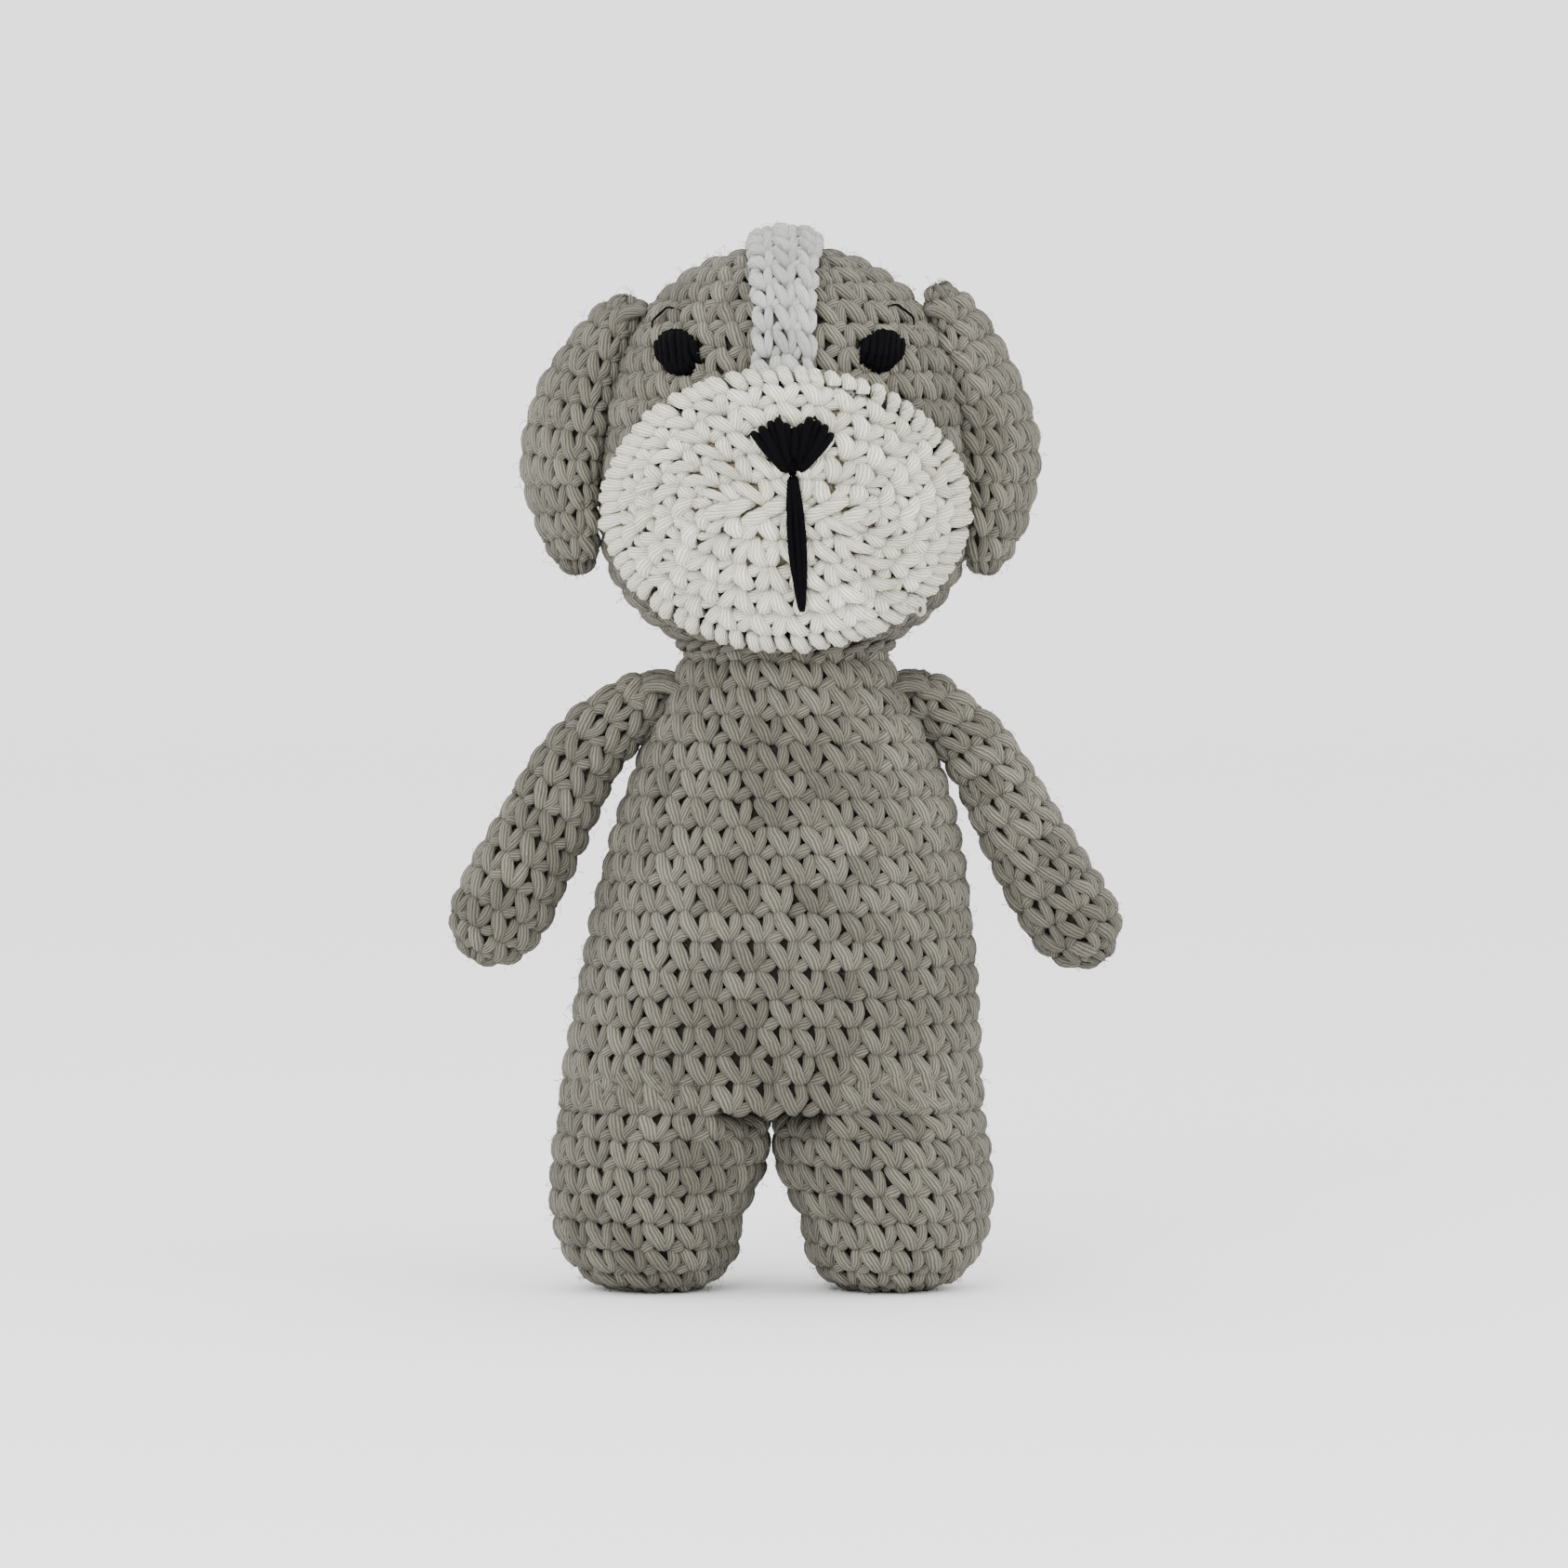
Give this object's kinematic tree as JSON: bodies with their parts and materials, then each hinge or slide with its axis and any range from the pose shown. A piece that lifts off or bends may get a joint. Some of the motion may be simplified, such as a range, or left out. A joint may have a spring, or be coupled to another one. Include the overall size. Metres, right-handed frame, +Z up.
{
  "type": "stuffed toy dog",
  "caption": "Crocheted, stuffed grey dog standing upright, with a white muzzle and forehead stripe, an embroidered face, drooping ears and jointed limbs.",
  "frame": {"origin": "on the ground between the feet, below the middle of the whole toy", "axes": "+Z up and the longest extent, +X the dog's own left, -Y the way its face looks"},
  "size_m": [0.1271, 0.0792, 0.1998],
  "materials": {
    "grey_crochet": "soft cotton yarn",
    "white_crochet": "soft cotton yarn",
    "black_embroidery": "stranded thread",
    "fibre_stuffing": "loose polyester fibre"
  },
  "bodies": {
    "torso": {"torso_cover": "grey_crochet", "torso_stuffing": "fibre_stuffing", "left_arm_seam_yarn": "grey_crochet", "right_arm_seam_yarn": "grey_crochet"},
    "neck": {"neck_stuffing": "fibre_stuffing"},
    "head": {"neck_seam_yarn": "grey_crochet", "head_cover": "grey_crochet", "head_stuffing": "fibre_stuffing", "muzzle_cover": "white_crochet", "muzzle_stuffing": "fibre_stuffing", "muzzle_seam_yarn": "white_crochet", "forehead_stripe": "white_crochet", "left_eye": "black_embroidery", "right_eye": "black_embroidery", "left_eyebrow": "black_embroidery", "right_eyebrow": "black_embroidery", "nose": "black_embroidery", "mouth_stitch": "black_embroidery", "left_ear_seam_yarn": "grey_crochet", "right_ear_seam_yarn": "grey_crochet"},
    "left_ear": {"left_ear_cover": "grey_crochet"},
    "right_ear": {"right_ear_cover": "grey_crochet"},
    "left_arm": {"left_arm_cover": "grey_crochet", "left_arm_stuffing": "fibre_stuffing"},
    "right_arm": {"right_arm_cover": "grey_crochet", "right_arm_stuffing": "fibre_stuffing"},
    "left_leg": {"left_leg_cover": "grey_crochet", "left_leg_stuffing": "fibre_stuffing"},
    "right_leg": {"right_leg_cover": "grey_crochet", "right_leg_stuffing": "fibre_stuffing"}
  },
  "joints": [
    {"name": "neck_turn", "type": "hinge", "parent": "torso", "child": "neck", "pos_m": [0, 0.0041, 0.112], "axis": [0, 0, 1], "range_deg": [-45, 45], "stiffness_Nm_per_rad": 0.06},
    {"name": "neck_nod", "type": "hinge", "parent": "neck", "child": "head", "pos_m": [0, 0.0041, 0.112], "axis": [1, 0, 0], "range_deg": [-12, 12], "stiffness_Nm_per_rad": 0.6},
    {"name": "left_shoulder", "type": "hinge", "parent": "torso", "child": "left_arm", "pos_m": [0.0288, 0.0041, 0.111], "axis": [0, -1, 0], "range_deg": [-2, 50], "stiffness_Nm_per_rad": 0.03},
    {"name": "left_hip", "type": "hinge", "parent": "torso", "child": "left_leg", "pos_m": [0, 0.0041, 0.033], "axis": [-1, 0, 0], "range_deg": [-15, 30], "stiffness_Nm_per_rad": 1},
    {"name": "left_ear_hinge", "type": "hinge", "parent": "head", "child": "left_ear", "pos_m": [0.0334, 0.0041, 0.1846], "axis": [0, -1, 0], "range_deg": [-1, 60], "stiffness_Nm_per_rad": 0.015},
    {"name": "right_shoulder", "type": "hinge", "parent": "torso", "child": "right_arm", "pos_m": [-0.0288, 0.0041, 0.111], "axis": [0, 1, 0], "range_deg": [-2, 50], "stiffness_Nm_per_rad": 0.03},
    {"name": "right_hip", "type": "hinge", "parent": "torso", "child": "right_leg", "pos_m": [0, 0.0041, 0.033], "axis": [-1, 0, 0], "range_deg": [-15, 30], "stiffness_Nm_per_rad": 1},
    {"name": "right_ear_hinge", "type": "hinge", "parent": "head", "child": "right_ear", "pos_m": [-0.0334, 0.0041, 0.1846], "axis": [0, 1, 0], "range_deg": [-1, 60], "stiffness_Nm_per_rad": 0.015}
  ]
}
